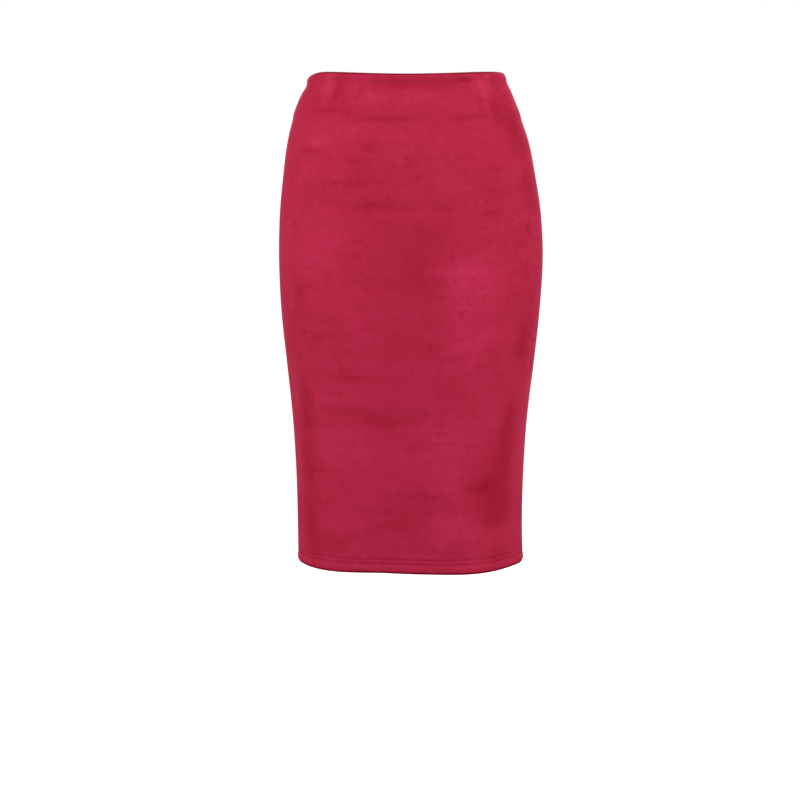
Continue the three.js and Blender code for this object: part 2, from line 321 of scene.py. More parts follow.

# %% [markdown]
# Brushed patches, painted light and painted shade
# Hands and seats turn the nap of suede. Where the fibres lie up they look lighter and where they lie
# down darker, in patches from a thumb's width to a hand's width. The same patches also paint light
# and shade: lighter thighs and lighter rims along the sides are painted light, and the darker middle
# of the front, the dark bands just inside the side edges, the lines under the waist roll and along
# the facing's lower edge, and dark marks at creases are painted shade. The larger ones are listed as
# one number for each vertex, which the material reads as the attribute nap and frays with its own
# noise. Along the folded edges at the waist and the hem a painted shade lays a dark line.

# %% Place the brushed and shading patches
# Besides the nap, these rows paint light and shade: painted light on the thighs and along the side rims,
# painted shade in the middle of the front, inside the side edges, under the waist roll, along the facing's
# lower edge and at creases.
FRONT_NAP_AND_SHADING_PATCHES = table(
    "turn down reach spread lift",
    (-87, 220, 50, 60, -0.4),
    (-90, 305, 50, 38, -0.15),
    (-130, 205, 35, 46, 0.35),
    (-64, 245, 44, 40, 0.7),
    (-64, 310, 36, 40, 0.5),
    (-92, 30, 70, 12, 0.45),
    (-94, 80, 80, 25, 0.15),
    (-82, 15, 62, 9, -0.6),
    (-141, 16, 10, 20, 0.9),
    (-42, 18, 17, 18, 0.8),
    (-131, 24, 8, 24, -0.7),
    (-28, 66, 24, 38, -0.75),
    (-32, 18, 12, 14, -0.4),
    (-160, 20, 12, 20, -0.3),
    (-145, 32, 12, 12, -0.6),
    (-39, 40, 10, 24, -0.6),
    (-56, 9, 13, 5, -0.9),
    (-136, 80, 17, 14, 0.6),
    (-142, 112, 22, 11, 0.4),
    (-140, 93, 22, 5, -0.6),
    (-109, 88, 11, 6, -0.8),
    (-120, 70, 26, 9, 0.4),
    (-76, 132, 46, 19, 0.15),
    (-105, 156, 35, 6, -0.6),
    (-54, 166, 20, 6, -0.6),
    (-117, 130, 32, 5, -0.5),
    (-114, 105, 18, 5, -0.4),
    (-22, 140, 25, 30, -0.5),
    (-30, 186, 6, 11, -0.7),
    (-32, 236, 6, 15, -0.7),
    (-101, 55, 34, 4, -0.65),
    (-57, 53, 34, 4, -0.5),
    (-135, 46, 32, 4, -0.6),
    (-145, 270, 14, 30, -0.5),
    (-116, 360, 58, 8, -0.5),
    (-102, 410, 48, 9, -0.6),
    (-122, 398, 44, 9, -0.5),
    (-138, 474, 22, 5, -0.6),
    (-124, 390, 52, 8, 0.3),
    (-84, 500, 32, 6, -0.4),
    (-148, 392, 15, 40, -0.7),
    (-151, 470, 18, 60, -0.6),
    (-150, 545, 18, 40, -0.5),
    (-30, 320, 18, 34, -0.8),
    (-35, 425, 16, 52, -0.7),
    (-44, 505, 34, 42, -0.95),
    (-52, 490, 26, 10, -0.4),
    (-40, 450, 20, 36, -0.4),
    (-42, 535, 18, 12, -0.5),
    (-72, 478, 30, 30, 0.4),
    (-39, 578, 16, 9, -0.5),
    (-145, 578, 15, 9, -0.4),
    (-95, 530, 60, 26, -0.25),
    (-128, 436, 40, 22, 0.3),
    (-69, 436, 40, 30, 0.4),
    (-68, 540, 42, 21, 0.5),
    (-15, 380, 12, 20, 0.6),
    (-16, 430, 12, 44, 0.5),
    (-160, 385, 8, 26, 0.6),
    (-162, 470, 8, 40, 0.4),
    (-134, 560, 38, 12, -0.4),
    (-72, 233, 36, 6, 0.4),
    (-122, 457, 48, 10, 0.3),
    (-172, 540, 14, 46, -0.6),
    (-8, 540, 16, 50, -0.6),
)
# The back and sides have patches of the same two kinds: brushed nap, and painted light and shade.
BACK_NAP_AND_SHADING_PATCHES = table(
    "turn down reach spread lift",
    (92, 212, 54, 50, 0.55),
    (58, 238, 36, 44, -0.4),
    (126, 262, 40, 38, -0.4),
    (96, 96, 66, 20, 0.3),
    (88, 15, 64, 5, -0.6),
    (60, 34, 12, 20, 0.7),
    (46, 42, 10, 22, -0.7),
    (122, 28, 12, 18, 0.7),
    (136, 40, 12, 24, -0.7),
    (44, 122, 26, 9, 0.5),
    (140, 140, 22, 8, -0.6),
    (72, 158, 34, 6, -0.6),
    (112, 172, 30, 6, -0.5),
    (92, 54, 60, 4, -0.7),
    (40, 52, 30, 4, -0.5),
    (142, 56, 26, 4, -0.6),
    (104, 334, 54, 10, -0.6),
    (60, 372, 44, 20, 0.4),
    (128, 402, 38, 24, 0.4),
    (76, 430, 14, 44, -0.4),
    (30, 420, 16, 60, -0.5),
    (150, 438, 16, 56, -0.5),
    (66, 512, 34, 18, 0.4),
    (118, 536, 30, 14, -0.5),
    (36, 560, 26, 12, -0.4),
    (2, 64, 22, 16, 0.4),
    (4, 120, 18, 30, 0.4),
    (8, 255, 18, 46, -0.4),
    (-4, 348, 26, 7, -0.4),
    (4, 520, 20, 26, 0.4),
    (178, 208, 18, 50, -0.4),
    (186, 114, 16, 26, 0.4),
    (176, 330, 22, 8, -0.5),
    (184, 480, 18, 34, 0.4),
)
FRAYED_REACH = 1.3
# A painted shade darkens a narrow line along the folded edges at the waist and the hem.
FOLD_EDGE_SHADE = {"lift": -3.6, "hem_reach": 3.8, "waist_reach": 2.4}


def nap_and_shading_lift(turn, down):
    """How far the colour is lifted, above 0, or lowered, below 0: by the brushed nap, by the painted light
    and shade of the patches, and by a painted shade along the folded edges.
    """
    depth = true_depth(turn, down)
    hem_edge = soften(LENGTH - down, FOLD_EDGE_SHADE["hem_reach"])
    waist_edge = soften(down, FOLD_EDGE_SHADE["waist_reach"])
    total = FOLD_EDGE_SHADE["lift"] * (hem_edge + waist_edge)
    for patch in list(rows_of(FRONT_NAP_AND_SHADING_PATCHES)) + list(rows_of(BACK_NAP_AND_SHADING_PATCHES)):
        away = turn_from(turn, patch["turn"])
        along = away * cloth_speed(turn - away / 2, depth)
        share_round = soften(along, FRAYED_REACH * patch["reach"])
        share_down = soften(depth - patch["down"], FRAYED_REACH * patch["spread"])
        total = total + patch["lift"] * share_round * share_down
    return total


print("brushed patches", len(FRONT_NAP_AND_SHADING_PATCHES["turn"]) + len(BACK_NAP_AND_SHADING_PATCHES["turn"]))

# %% [markdown]
# Darts and the stitched rows
# A dart is a wedge of cloth sewn away inside, so that a flat sheet can follow the waist. Outside it
# shows as a fine line: the cloth is full on the side of it towards the hip, falls at the line and
# stays hollow for a finger's width. The hem's two rows of stitches press shallow grooves in, with a
# full roll of cloth below them, and a low trough runs round just under the waist edge.

# %% Shape the darts and grooves
DARTS = table(
    "turn tip_turn tip hollow_side",
    (-127.5, -120, 84, 1),
    (-46.5, -55.5, 84, -1),
    (52, 61, 120, 1),
    (128, 119, 120, -1),
)
DART_LINE = {"deep": 1.1, "half_width": 2.4}
DART_HOLLOW = {"deep": 0.8, "half_width": 8, "away": 7}
DART_FULL = {"high": 0.8, "half_width": 8, "away": 7}
HEM_ROWS_UP = (11.6, 16.8)
STITCH_GROOVE = {"deep": 0.6, "half_width": 1.9}
HEM_FULL = {"high": 0.5, "up": 6, "half_width": 5}
WAIST_TROUGH = {"deep": 0.8, "down": 13, "half_height": 8, "side_share": 0.35, "sharpness": 4}


def dart_turn(dart, down):
    """The dart's turn at a depth: it leans to its tip and ends there."""
    share = np.minimum(down / dart["tip"], 1)
    return np.radians(dart["turn"] + (dart["tip_turn"] - dart["turn"]) * share)


def dart_relief(turn, down):
    """How far the darts press the cloth in or fill it out."""
    total = 0
    for dart in rows_of(DARTS):
        away = cloth_distance(turn, dart_turn(dart, down), down) * dart["hollow_side"]
        fade = np.maximum(1 - (down / dart["tip"]) ** 2, 0)
        line = DART_LINE["deep"] * soften(away, DART_LINE["half_width"])
        hollow = DART_HOLLOW["deep"] * soften(away - DART_HOLLOW["away"], DART_HOLLOW["half_width"])
        full = DART_FULL["high"] * soften(away + DART_FULL["away"], DART_FULL["half_width"])
        total = total + (full - hollow - line) * fade
    return total


def hem_groove(down):
    """How far the two stitched rows press the cloth in, less the fullness below them."""
    up = LENGTH - down
    rows = sum(STITCH_GROOVE["deep"] * soften(up - row, STITCH_GROOVE["half_width"]) for row in HEM_ROWS_UP)
    return rows - HEM_FULL["high"] * soften(up - HEM_FULL["up"], HEM_FULL["half_width"])


def waist_trough(turn, down):
    """How far the cloth falls in under the waist edge, more in front and behind than at the sides."""
    fall = WAIST_TROUGH["deep"] * soften(down - WAIST_TROUGH["down"], WAIST_TROUGH["half_height"])
    side_share = WAIST_TROUGH["side_share"]
    return fall * (side_share + (1 - side_share) * np.abs(np.sin(turn)) ** WAIST_TROUGH["sharpness"])


def cloth_out(turn, depth, down):
    """Where the right side of the cloth lies off the sections."""
    pressed = large_crease_depth(turn, depth) + fine_crease_depth(turn, depth) + waist_trough(turn, down)
    return read_table(WAIST_PROFILE, "out", down) + dart_relief(turn, down) - pressed


def place_cloth(turn, down, out):
    """Points in millimetres for turns and depths, moved straight out of the skirt by out."""
    depth = true_depth(turn, down)
    x, y = plan_point(turn, depth)
    run_x, run_y = plan_run(turn, depth)
    length = np.hypot(run_x, run_y)
    reach = cloth_out(turn, depth, down) + out
    return np.stack([x + run_y / length * reach, y - run_x / length * reach, WAIST_Z - depth], axis=-1)


print("dart line at the waist", place_cloth(np.radians(-127.5), 5.0, 0.0).round(1).tolist())

# %% [markdown]
# A sheet with turned edges
# Real cloth has no cut edge on show here. At the waist it rolls in over the facing, at each seam an
# allowance of 12 mm turns back inside, and at the hem 20 mm is turned up. All three are the same
# motion: the sheet runs round a half circle and back. So each panel is one flat grid, made by
# bmesh and then laid along such paths, and a Solidify modifier gives it its thickness inwards.

# %% Follow the cloth round a turned edge
ALLOWANCE = 12
HAIR = 0.05
TURN_ROUND = WALL + HAIR
WAIST_ROUND = 1.35
SEAM_SQUARE = 0.6
TURN_STEPS = (0, 0.18, 0.36, 0.5, 0.64, 0.82, 1)
ALLOWANCE_STEPS = (2, 5, 8.5, ALLOWANCE)


def turned_path(run, radius):
    """How far ahead and how far in the cloth lies after a run round a turned seam edge."""
    angle = np.clip(run / radius, 0, math.pi)
    beyond = np.maximum(run - math.pi * radius, 0)
    ahead = radius * np.abs(np.sin(angle)) ** SEAM_SQUARE - beyond
    inward = radius * (1 - np.sign(np.cos(angle)) * np.abs(np.cos(angle)) ** SEAM_SQUARE)
    return ahead, inward


def centre_back_gap(down):
    """Half the opening at the centre back: a closed seam, then the slit spreading to the hem."""
    below = np.maximum(down - (LENGTH - SLIT_LENGTH), 0) / SLIT_LENGTH
    return SLIT_SPREAD / 2 * below ** SLIT_CURVE


EDGE_RUNS = np.array([step * math.pi * TURN_ROUND for step in TURN_STEPS[1:]])
EDGE_RUNS = np.concatenate([EDGE_RUNS, EDGE_RUNS[-1] + np.array(ALLOWANCE_STEPS)])
print("columns in a turned edge", len(EDGE_RUNS))

# %% Choose the columns and rows of a panel
DART_MARKS = (-14, -7, -2.4, 0, 2.4, 7, 14)
TUCK = 0.4
FOOT_HEIGHT = 27
FINE_DEPTHS = np.arange(WAIST_ROUND + 0.8, 15, 0.85)
UPPER_DEPTHS = np.linspace(15.6, 62, 22)
PLAIN_DEPTHS = np.linspace(65.4, LENGTH - FOOT_HEIGHT - 3.4, 147)
FOOT_SHARES = np.linspace(0, 1, 30)
TURNED_UP_RUNS = np.linspace(0.7, HEM_DEPTH - TURN_ROUND, 24)


def panel_columns(panel):
    """The darts' marks in a panel, and for each column its two marks and its share between them."""
    darts = [dart for dart in rows_of(DARTS) if panel["first"] < math.radians(dart["turn"]) < panel["last"]]
    low = []
    share = []
    for mark, count in enumerate(panel["columns"]):
        steps = np.arange(count) / count
        low.extend([mark] * count)
        share.extend(steps)
    return darts, np.array(low + [len(panel["columns"]) - 1]), np.array(share + [1.0])


def panel_rows():
    """Each row's zone and its value there: an angle, a depth, a share or a run."""
    zones = (
        ("roll", [math.pi + TUCK] + [math.pi * (1 - step) for step in TURN_STEPS]),
        ("cloth", np.concatenate([FINE_DEPTHS, UPPER_DEPTHS, PLAIN_DEPTHS])),
        ("foot", FOOT_SHARES),
        ("fold", [math.pi * step for step in TURN_STEPS[1:]]),
        ("up", TURNED_UP_RUNS),
    )
    return [(zone, float(value)) for zone, values in zones for value in values]


ROWS = panel_rows()
print("rows in a panel", len(ROWS))

# %% [markdown]
# Laying the grid on the form
# The grid is cut flat first, with one vertex for each column and row. Where four layers would lie on
# each other under the facing, the allowance's faces are cut away, as a maker trims a seam. Then
# every vertex gets its turn, its depth and its distance from the outer face, all at once.

# %% Cut a flat grid
def cut_sheet(name, columns, rows, keep=None):
    """A flat grid of cloth, and each vertex's column and row. keep says which faces stay, if not all."""
    sheet = bmesh.new()
    bmesh.ops.create_grid(sheet, x_segments=columns - 1, y_segments=rows - 1, size=0.5)
    spare = []
    for face in sheet.faces:
        middle = face.calc_center_median()
        if keep and not keep((middle.x + 0.5) * (columns - 1), (0.5 - middle.y) * (rows - 1)):
            spare.append(face)
    bmesh.ops.delete(sheet, geom=spare, context="FACES")
    mesh = bpy.data.meshes.new(name)
    sheet.to_mesh(mesh)
    sheet.free()
    flat = np.empty(len(mesh.vertices) * 3)
    mesh.vertices.foreach_get("co", flat)
    flat = flat.reshape(-1, 3)
    column = np.rint((flat[:, 0] + 0.5) * (columns - 1)).astype(int)
    row = np.rint((0.5 - flat[:, 1]) * (rows - 1)).astype(int)
    return mesh, column, row


def finish_sheet(mesh, places, cloth, wall):
    """Moves the grid's vertices to their places, maps the cloth and gives it thickness."""
    mesh.vertices.foreach_set("co", (places * MM).ravel())
    mesh.update()
    corners = np.empty(len(mesh.loops), int)
    mesh.loops.foreach_get("vertex_index", corners)
    chart = mesh.uv_layers.new(name="cloth")
    chart.data.foreach_set("uv", (cloth[corners] * MM).ravel())
    mesh.polygons.foreach_set("use_smooth", [True] * len(mesh.polygons))
    piece = bpy.data.objects.new(mesh.name, mesh)
    bpy.context.scene.collection.objects.link(piece)
    thickness = piece.modifiers.new("wall", "SOLIDIFY")
    thickness.thickness = wall * MM
    thickness.offset = -1
    return piece


print("sheets are cut as flat grids and laid on the form")

# %% Follow a panel's rows and marks
BULK_FADE = 6
BELOW_FACING = FACING_DEPTH + 2


def folded_rows(zones, values, inward, from_edge):
    """How deep and how far out each vertex lies: on the cloth, in the waist's roll or in the hem's fold."""
    bulk = soften(np.maximum(from_edge - ALLOWANCE + 1, 0), BULK_FADE)
    fold_round = TURN_ROUND + bulk * (TURN_ROUND + HAIR)
    fold_centre = LENGTH - fold_round
    fold_arm = fold_round - inward
    foot_top = LENGTH - FOOT_HEIGHT
    roll_arm = np.maximum(WAIST_ROUND - inward, HAIR)
    roll_angle = np.minimum(values, math.pi)
    tucked = np.maximum(values - math.pi, 0)
    foot, fold, up, roll = (zones == zone for zone in ("foot", "fold", "up", "roll"))
    down = np.select(
        [foot, fold, up, roll],
        [
            foot_top + (fold_centre - foot_top) * values,
            fold_centre + fold_arm * np.sin(values),
            fold_centre - values,
            WAIST_ROUND - roll_arm * np.sin(roll_angle) + tucked,
        ],
        values,
    )
    out = np.select(
        [fold, up, roll],
        [
            fold_arm * np.cos(values) - fold_round,
            -fold_round - fold_arm,
            roll_arm * np.cos(roll_angle) - WAIST_ROUND,
        ],
        -inward,
    )
    return down, out


def mark_turns(panel, darts, down):
    """Turns of a panel's first edge, of the marks beside its darts and of its last edge, at these depths."""
    gaps = [centre_back_gap(down) if panel[end] == CENTRE_BACK else 0 for end in ("first", "last")]
    marks = [panel["first"] + (gaps[0] + TURN_ROUND) / cloth_speed(panel["first"], down)]
    for dart in darts:
        line = dart_turn(dart, down)
        speed = cloth_speed(line, down)
        marks.extend(line + mark / speed for mark in DART_MARKS)
    marks.append(panel["last"] - (gaps[1] + TURN_ROUND) / cloth_speed(panel["last"], down))
    return np.stack([np.broadcast_to(mark, down.shape) for mark in marks])


print("the hem's fold is", round(2 * TURN_ROUND, 2), "mm through, and twice that over a seam")

# %% Lay a panel
def lay_panel(panel):
    """A panel of suede with its allowances, rolled waist edge and turned-up hem."""
    darts, low, share = panel_columns(panel)
    edge = len(EDGE_RUNS)
    main = len(low)
    half_turn = edge - len(ALLOWANCE_STEPS) - 3
    first_open = next(i for i, (zone, value) in enumerate(ROWS) if zone == "cloth" and value > BELOW_FACING)

    def keep(column, row):
        past = max(edge - column, column - (edge + main - 1))
        return past < half_turn or row > first_open

    mesh, column, row = cut_sheet(panel["name"], main + 2 * edge, len(ROWS), keep)
    zones = np.array([zone for zone, value in ROWS])[row]
    values = np.array([value for zone, value in ROWS])[row]
    before = np.clip(edge - column, 0, edge)
    after = np.clip(column - (edge + main - 1), 0, edge)
    runs = np.concatenate([[0], EDGE_RUNS])[np.maximum(before, after)]
    ahead, inward = turned_path(runs, TURN_ROUND)

    def lay_turns(down):
        """Turns of all vertices where their rows lie at these depths, and how far each is from an edge."""
        marks = mark_turns(panel, darts, down)
        speed_first = cloth_speed(panel["first"], down)
        speed_last = cloth_speed(panel["last"], down)
        place = np.clip(column - edge, 0, main - 1)
        here = np.arange(len(column))
        turn = marks[low[place], here] * (1 - share[place]) + marks[low[place] + 1, here] * share[place]
        from_edge = np.minimum((turn - marks[0]) * speed_first, (marks[-1] - turn) * speed_last)
        turn = turn - np.where(before > 0, ahead, 0) / speed_first
        turn = turn + np.where(after > 0, ahead, 0) / speed_last
        return turn, np.where(runs > 0, 0, from_edge)

    # The hem's fold depends on how far a vertex is from an edge, so the turns are laid twice.
    guess = np.select([zones == "cloth", zones == "roll"], [values, WAIST_ROUND], LENGTH - HEM_DEPTH / 2)
    from_edge = lay_turns(guess)[1]
    down, out = folded_rows(zones, values, inward, from_edge)
    turn = lay_turns(down)[0]
    groove = hem_groove(down)
    out = out + np.select([zones == "up", zones == "roll"], [groove, 0], -groove)
    places = place_cloth(turn, down, out)
    around = cloth_distance(turn, 0.0, np.minimum(down, WIDEST_DOWN))
    piece = finish_sheet(mesh, places, np.stack([around, -down], axis=-1), WALL)
    # The attribute nap holds the brushed nap together with the painted light and shade of the patches and the
    # folded edges.
    lift = mesh.attributes.new("nap", "FLOAT", "POINT")
    lift.data.foreach_set("value", nap_and_shading_lift(turn, down))
    return piece


def sheet_area(piece):
    """The sheet's area in square metres, which is that of its cut."""
    return sum(face.area for face in piece.data.polygons)


print("a panel's sheet has", len(ROWS), "rows, and", len(EDGE_RUNS), "columns in each turned edge")

# %% [markdown]
# Three panels
# The front is cut on the fold in one piece and has two darts. The back is two pieces with a seam
# down the centre, because the slit needs an opening there. Their column counts put narrow faces
# beside the darts and wider ones where the cloth is plain.

# %% Lay the three panels
PANELS = [
    {"name": "front_cloth", "solid": "front_panel", "first": -RIGHT_SEAM, "last": LEFT_SEAM,
     "columns": (28, 4, 4, 3, 3, 4, 4, 44, 4, 4, 3, 3, 4, 4, 26)},
    {"name": "back_cloth_left", "solid": "back_panel_left", "first": LEFT_SEAM, "last": CENTRE_BACK,
     "columns": (28, 4, 4, 3, 3, 4, 4, 22)},
    {"name": "back_cloth_right", "solid": "back_panel_right", "first": CENTRE_BACK, "last": RIGHT_SEAM,
     "columns": (22, 4, 4, 3, 3, 4, 4, 28)},
]
panels = [lay_panel(panel) for panel in PANELS]
for piece in panels:
    print(piece.name, len(piece.data.polygons), "faces, area", round(sheet_area(piece), 4), "square metres")

# %% [markdown]
# The waist facing
# Inside the waist edge lies a shaped band of thin firm knit in two halves. Its top is sewn to the
# rolled edge of the suede, so it bends out to it, and its lower edge is only overlocked and hangs
# free against the suede, where it shows outside as a low step. It is laid with the same functions,
# with its right side towards the body.

# %% Lay the facing's two halves
FACING_PROFILE = table(
    "down inward",
    (1.9, 1.75),
    (2.3, 2.4),
    (3.2, 2.72),
    (5, 2.78),
    (46, 2.76),
    (FACING_DEPTH, 2.7),
)
FACING_DEPTHS = np.concatenate([np.linspace(1.9, 9, 14), np.linspace(11, FACING_DEPTH, 20)])
FACING_COLUMNS = 120
FACING_AIR = 0.1
UNDERSTITCH_DOWN = 6.2
UNDERSTITCH_GROOVE = {"deep": 0.2, "half_width": 1.2}
FACINGS = [
    {"name": "facing_front_cloth", "solid": "waist_facing_front", "first": -RIGHT_SEAM, "last": LEFT_SEAM},
    {"name": "facing_back_cloth", "solid": "waist_facing_back", "first": LEFT_SEAM, "last": RIGHT_SEAM},
]


def lay_facing(facing):
    """Half of the waist facing, its right side towards the body."""
    mesh, column, row = cut_sheet(facing["name"], FACING_COLUMNS, len(FACING_DEPTHS))
    down = FACING_DEPTHS[row]
    air = FACING_AIR / cloth_speed(facing["first"], down)
    share = 1 - column / (FACING_COLUMNS - 1)
    turn = facing["first"] + air + (facing["last"] - facing["first"] - 2 * air) * share
    pressed = UNDERSTITCH_GROOVE["deep"] * soften(down - UNDERSTITCH_DOWN, UNDERSTITCH_GROOVE["half_width"])
    out = pressed - read_table(FACING_PROFILE, "inward", down) - dart_relief(turn, down)
    places = place_cloth(turn, down, out)
    around = cloth_distance(turn, 0.0, down)
    return finish_sheet(mesh, places, np.stack([around, -down], axis=-1), FACING_WALL)


facings = [lay_facing(facing) for facing in FACINGS]
for piece in facings:
    print(piece.name, len(piece.data.polygons), "faces, area", round(sheet_area(piece), 4), "square metres")

# %% [markdown]
# Stitches
# The hem is closed by a coverstitch: two needle rows outside, 5.2 mm apart, and a looper thread
# that zigzags between them inside, just below the raw edge. A stitch is a short, slightly sunk
# length of thread, so a stretched low sphere of 24 faces is enough for each. The sphere is read back from its
# mesh before it is copied, which keeps each copy's vertices together and in the same order.

# %% Sew one row of stitches
THREAD_ROUND = 0.26
FINE_THREAD_ROUND = 0.22


def copies_of(shape, count):
    """Doubles all that is in a bmesh until there are enough copies, then takes the spare ones away."""
    size = len(shape.verts)
    while len(shape.verts) < count * size:
        bmesh.ops.duplicate(shape, geom=shape.verts[:] + shape.edges[:] + shape.faces[:])
    shape.verts.ensure_lookup_table()
    bmesh.ops.delete(shape, geom=shape.verts[count * size:], context="VERTS")
    return size


def directions(vectors):
    """The same vectors with a length of 1."""
    return vectors / np.linalg.norm(vectors, axis=1, keepdims=True)


def sew(name, starts, ends, thread_round):
    """A piece of separate stitches between pairs of points in millimetres."""
    starts = np.array(starts)
    ends = np.array(ends)
    low_sphere = bmesh.new()
    bmesh.ops.create_uvsphere(low_sphere, u_segments=6, v_segments=4, radius=1)
    mesh = bpy.data.meshes.new(name)
    low_sphere.to_mesh(mesh)
    low_sphere.free()
    stitch = bmesh.new()
    stitch.from_mesh(mesh)
    size = copies_of(stitch, len(starts))
    stitch.to_mesh(mesh)
    stitch.free()
    plain = np.empty(len(mesh.vertices) * 3)
    mesh.vertices.foreach_get("co", plain)
    plain = plain.reshape(len(starts), size, 3)
    middles = (starts + ends) / 2
    along = directions(ends - starts)
    across = directions(np.cross(middles * (1, 1, 0), along))
    off = np.cross(along, across)
    half = np.linalg.norm(ends - starts, axis=1) / 2
    lengths = np.stack([across * thread_round, off * thread_round, along * half[:, None]], axis=1)
    places = np.einsum("svk,skc->svc", plain, lengths) + middles[:, None, :]
    mesh.vertices.foreach_set("co", (places * MM).ravel())
    mesh.polygons.foreach_set("use_smooth", [True] * len(mesh.polygons))
    mesh.update()
    piece = bpy.data.objects.new(name, mesh)
    bpy.context.scene.collection.objects.link(piece)
    return piece


def row_turns(first, last, down, pitch):
    """Turns at an even pitch along the cloth, from one turn to another."""
    fine = np.linspace(first, last, 2000)
    steps = np.concatenate([[0], np.cumsum(np.diff(fine) * cloth_speed((fine[1:] + fine[:-1]) / 2, down))])
    count = int(steps[-1] / pitch)
    return np.interp(np.linspace(0, steps[-1], count + 1), steps, fine)


def along_row(places, gap=0.1):
    """Starts and ends of stitches along a row of places, with a gap at each end of a stitch."""
    short = gap * (places[1:] - places[:-1])
    return list(places[:-1] + short), list(places[1:] - short)


print("a thread is", 2 * THREAD_ROUND, "mm thick")

# %% Sew the hem
HEM_PITCH = 3.0
HEM_THREAD_SUNK = 0.2
SLIT_CLEARANCE = 2.5
HEM_WANDER = ((0.5, 5, 0), (0.3, 13, 1))
SLIT_ROW = LENGTH - 12.0
PITCH_ROW = LENGTH - 15.0
slit_half = float(centre_back_gap(SLIT_ROW)) + SLIT_CLEARANCE
slit_turn = slit_half / float(cloth_speed(CENTRE_BACK, SLIT_ROW))
hem_first = CENTRE_BACK - 2 * math.pi + slit_turn
hem_last = CENTRE_BACK - slit_turn
hem_turns = row_turns(hem_first, hem_last, PITCH_ROW, HEM_PITCH)
wander = sum(size * np.sin(waves * hem_turns + start) for size, waves, start in HEM_WANDER)
rows = [along_row(place_cloth(hem_turns, LENGTH - up + wander, -HEM_THREAD_SUNK)) for up in HEM_ROWS_UP]
starts = rows[0][0] + rows[1][0]
ends = rows[0][1] + rows[1][1]
hem_stitches = sew("hem_stitches", starts, ends, THREAD_ROUND)
print("hem stitches", len(starts))

# %% Sew the looper thread inside the hem
LOOPER_SHORT = 0.6
LOOPER_CLEARANCE = 0.02
inside = 2 * TURN_ROUND + LOOPER_CLEARANCE
low_row = place_cloth(hem_turns, LENGTH - HEM_ROWS_UP[0] + wander, -inside)
high_row = place_cloth(hem_turns, LENGTH - HEM_ROWS_UP[1] + wander - LOOPER_SHORT, -inside)
starts = list(low_row[:-1]) + list(high_row[:-1])
ends = list(high_row[:-1]) + list(low_row[1:])
looper = sew("hem_looper_thread", starts, ends, FINE_THREAD_ROUND)
print("looper stitches", len(starts))

# %% Sew the facing
UNDERSTITCH = {"pitch": 2.8, "inward": 2.66}
OVERLOCK = {"pitch": 1.9, "deep": 4.5, "below": 0.3, "edge_inward": 2.2, "inward": 2.84, "thread_round": 0.24}
ROUND_TRIP = (-RIGHT_SEAM + 0.01, RIGHT_SEAM - 0.01)
facing_turns = row_turns(*ROUND_TRIP, UNDERSTITCH_DOWN, UNDERSTITCH["pitch"])
relief = dart_relief(facing_turns, UNDERSTITCH_DOWN)
starts, ends = along_row(place_cloth(facing_turns, UNDERSTITCH_DOWN, -UNDERSTITCH["inward"] - relief))
understitch = sew("facing_understitch", starts, ends, FINE_THREAD_ROUND)
print("facing stitches", len(starts))
edge_turns = row_turns(*ROUND_TRIP, FACING_DEPTH, OVERLOCK["pitch"])
relief = dart_relief(edge_turns, FACING_DEPTH)
low_edge = place_cloth(edge_turns, FACING_DEPTH + OVERLOCK["below"], -OVERLOCK["edge_inward"] - relief)
high_edge = place_cloth(edge_turns, FACING_DEPTH - OVERLOCK["deep"], -OVERLOCK["inward"] - relief)
starts = list(high_edge) + list(low_edge[:-1])
ends = list(low_edge) + list(low_edge[1:])
overlock = sew("facing_overlock", starts, ends, OVERLOCK["thread_round"])
print("overlock threads", 2 * len(edge_turns) - 1)

# %% [markdown]
# The seams
# Three seams join the panels: one at each side, and one at the centre back that ends at the slit.
# Each is a row of stitches between the two turned edges. They are hardly seen, but they hold the
# edges shut from the waist roll to the hem, so no light comes through.

# %% Sew the seams
SEAM_STITCH = 2.5
SEAM_INWARD = 1.3
SEAM_TOP = 4.0
SEAM_END = LENGTH - 3.5
starts = []
ends = []
for seam, last_down in (
    (LEFT_SEAM, SEAM_END),
    (RIGHT_SEAM, SEAM_END),
    (CENTRE_BACK, LENGTH - SLIT_LENGTH),
):
    downs = np.arange(SEAM_TOP, last_down, SEAM_STITCH)
    places = place_cloth(np.full(len(downs), float(seam)), downs, -SEAM_INWARD)
    row_starts, row_ends = along_row(places, gap=0.08)
    starts.extend(row_starts)
    ends.extend(row_ends)
seam_stitches = sew("seam_stitches", starts, ends, THREAD_ROUND)
print("seam stitches", len(starts))

# %% [markdown]
# The top of the slit
# A walking slit would tear upwards, so its top is held by a bar tack: short stitches side by side
# across the seam, with a row along their tops. It is small and is made with the same stitch.

# %% Sew the bar tack
TACK_DOWN = LENGTH - SLIT_LENGTH - 1.0
TACK_HALF = 4.5
TACK_REACH = 1.1
TACK_PROUD = 0.25
TACK_THREAD_ROUND = 0.3
tack_speed = float(cloth_speed(CENTRE_BACK, TACK_DOWN))
tack_turns = CENTRE_BACK + np.linspace(-TACK_HALF, TACK_HALF, 15) / tack_speed
upper = place_cloth(tack_turns, TACK_DOWN - TACK_REACH, TACK_PROUD)
lower = place_cloth(tack_turns, TACK_DOWN + TACK_REACH, TACK_PROUD)
starts = list(upper) + list(upper[:-1])
ends = list(lower) + list(upper[1:])
bar_tack = sew("slit_bar_tack", starts, ends, TACK_THREAD_ROUND)
print("bar tack threads", len(upper) * 2 - 1)

# %% [markdown]
# Two shader node groups
# Suede has a short brushed nap. Strokes of a hand turn it this way and that, which leaves soft
# lighter and darker marks of a few millimetres to a few centimetres, on a very fine grain. In places
# a rubbed blotch has a thin darker outline, made here as a contour line of a soft noise. The back
# of the cloth and the facing are knitted, with rows of tiny V-shaped loops. The knit is a node group
# because two materials use it with their own values, and the nap is one to keep its many nodes
# together. Each group puts out only a shade and a height.

